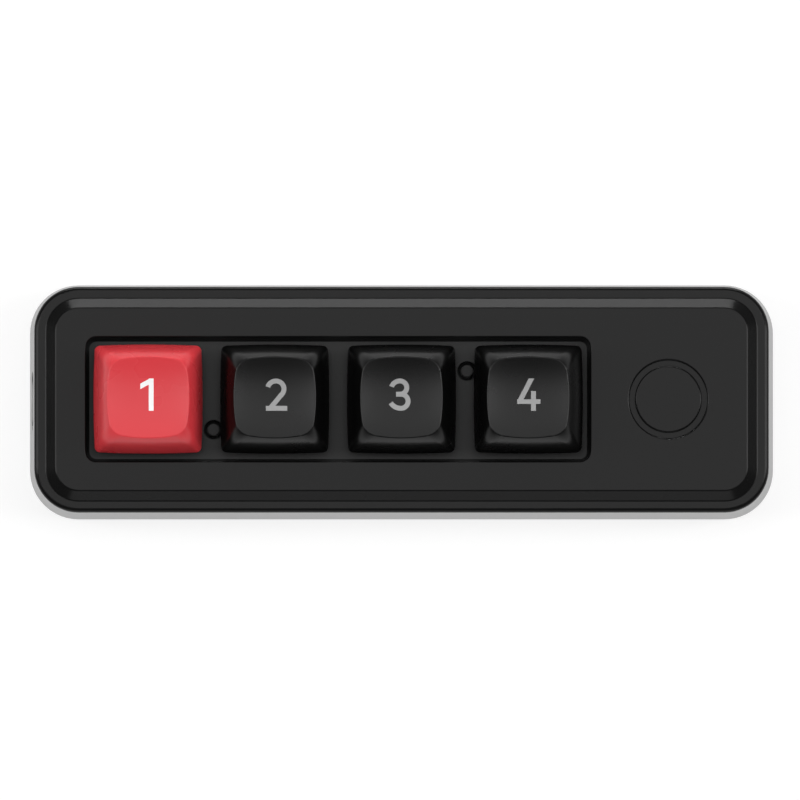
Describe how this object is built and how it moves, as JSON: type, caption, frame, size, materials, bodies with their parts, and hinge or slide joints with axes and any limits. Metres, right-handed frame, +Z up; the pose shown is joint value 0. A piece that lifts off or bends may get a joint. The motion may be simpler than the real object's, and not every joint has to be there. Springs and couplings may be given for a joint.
{
  "type": "macro keypad",
  "caption": "Low desk keypad: silver tray, black bevelled cover, a row of square dished keys in a sunk well and a flush round push button beside it",
  "frame": {"origin": "on the desk under the middle of the case, at the bottom of the rubber feet", "axes": "+X along the row of keys towards the round button, +Y to the back, +Z up"},
  "size_m": [0.1252, 0.0394, 0.0273],
  "materials": {
    "silver_shell": "satin anodised silver",
    "black_cover": "fine matt moulded black",
    "black_plate": "matt black powder coat",
    "red_keycap": "satin moulded red",
    "black_keycap": "satin moulded black",
    "white_legend": "satin moulded white",
    "grey_legend": "satin moulded light grey",
    "switch_plastic": "moulded black",
    "switch_stem": "moulded dark red",
    "circuit_board": "matt black solder mask",
    "chip_plastic": "matt moulded black",
    "chip_ceramic": "matt fired tan",
    "steel": "nickel-plated steel",
    "brass": "plain",
    "rubber": "matt black"
  },
  "bodies": {
    "root": {"base_shell": "silver_shell", "top_cover": "black_cover", "switch_plate": "black_plate", "circuit_board": "circuit_board", "support_posts": "black_plate", "case_screws": "steel", "board_screws": "steel", "threaded_inserts": "brass", "rubber_feet": "rubber", "button_switch_body": "switch_plastic", "button_switch_cover": "steel", "button_switch_legs": "steel", "button_switch_dome": "steel", "usb_shell": "steel", "usb_insulator": "switch_plastic", "processor": "chip_plastic", "crystal": "steel", "voltage_regulator": "chip_plastic", "chip_capacitors": "chip_ceramic", "key_diodes": "chip_plastic", "switch_sockets": "switch_plastic", "key_1_lower_housing": "switch_plastic", "key_1_upper_housing": "switch_plastic", "key_1_spring": "steel", "key_1_near_contact": "brass", "key_1_far_contact": "brass", "key_2_lower_housing": "switch_plastic", "key_2_upper_housing": "switch_plastic", "key_2_spring": "steel", "key_2_near_contact": "brass", "key_2_far_contact": "brass", "key_3_lower_housing": "switch_plastic", "key_3_upper_housing": "switch_plastic", "key_3_spring": "steel", "key_3_near_contact": "brass", "key_3_far_contact": "brass", "key_4_lower_housing": "switch_plastic", "key_4_upper_housing": "switch_plastic", "key_4_spring": "steel", "key_4_near_contact": "brass", "key_4_far_contact": "brass"},
    "key_1": {"key_1_cap": "red_keycap", "key_1_legend": "white_legend", "key_1_stem": "switch_stem"},
    "key_2": {"key_2_cap": "black_keycap", "key_2_legend": "grey_legend", "key_2_stem": "switch_stem"},
    "key_3": {"key_3_cap": "black_keycap", "key_3_legend": "grey_legend", "key_3_stem": "switch_stem"},
    "key_4": {"key_4_cap": "black_keycap", "key_4_legend": "grey_legend", "key_4_stem": "switch_stem"},
    "button": {"button_cap": "black_cover", "button_plunger": "switch_plastic"}
  },
  "joints": [
    {"name": "key_1_press", "type": "slide", "parent": "root", "child": "key_1", "axis": [0, 0, -1], "range_m": [0, 0.004], "stiffness_N_per_m": 65, "springref_m": -0.0065, "deforming": ["key_1_spring"]},
    {"name": "key_2_press", "type": "slide", "parent": "root", "child": "key_2", "axis": [0, 0, -1], "range_m": [0, 0.004], "stiffness_N_per_m": 65, "springref_m": -0.0065, "deforming": ["key_2_spring"]},
    {"name": "key_3_press", "type": "slide", "parent": "root", "child": "key_3", "axis": [0, 0, -1], "range_m": [0, 0.004], "stiffness_N_per_m": 65, "springref_m": -0.0065, "deforming": ["key_3_spring"]},
    {"name": "key_4_press", "type": "slide", "parent": "root", "child": "key_4", "axis": [0, 0, -1], "range_m": [0, 0.004], "stiffness_N_per_m": 65, "springref_m": -0.0065, "deforming": ["key_4_spring"]},
    {"name": "button_press", "type": "slide", "parent": "root", "child": "button", "axis": [0, 0, -1], "range_m": [0, 0.0005], "stiffness_N_per_m": 1500, "springref_m": -0.0004, "deforming": ["button_switch_dome"]}
  ]
}
